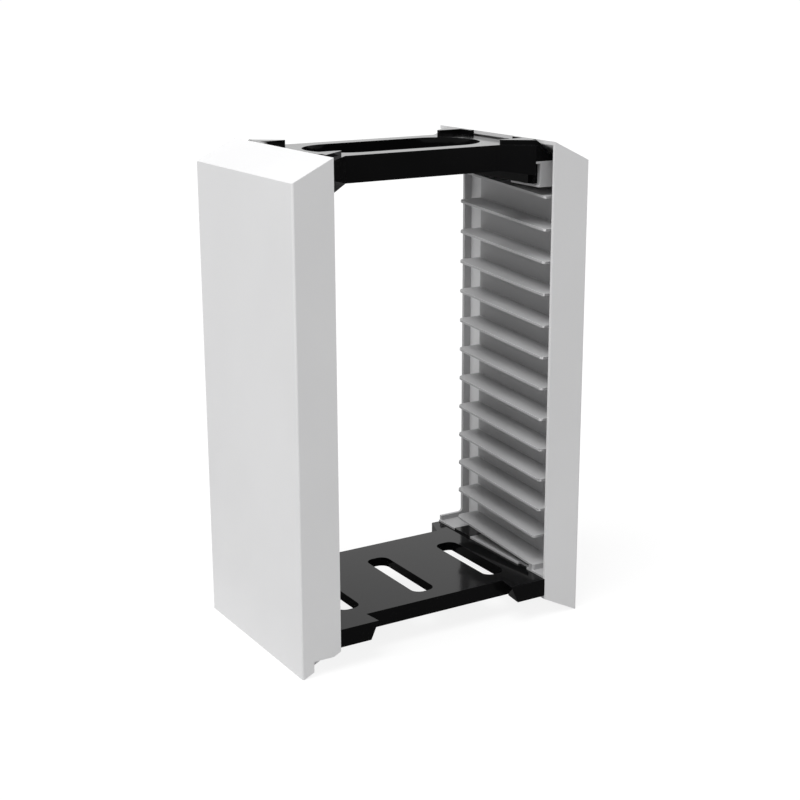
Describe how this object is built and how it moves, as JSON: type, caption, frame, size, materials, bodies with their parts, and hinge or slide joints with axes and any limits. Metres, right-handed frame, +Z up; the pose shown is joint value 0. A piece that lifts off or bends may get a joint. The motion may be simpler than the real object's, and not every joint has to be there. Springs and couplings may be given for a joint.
{
  "type": "disc storage rack",
  "caption": "Stackable rack for disc cases: side covers carry ribbed inserts, tied together by a top frame with an oval opening and a slotted base plate.",
  "frame": {"origin": "centre of the footprint, on the surface that the rack stands on", "axes": "+Z up, -Y the front, +X the right-hand cover seen from the front"},
  "size_m": [0.208, 0.1302, 0.3144],
  "materials": {
    "cover": "fine satin, white",
    "rack": "satin, mid grey",
    "black": "polished, black"
  },
  "bodies": {
    "root": {"left_cover": "cover", "right_cover": "cover", "left_rack": "rack", "right_rack": "rack", "top_frame": "black", "base_plate": "black"}
  },
  "joints": []
}
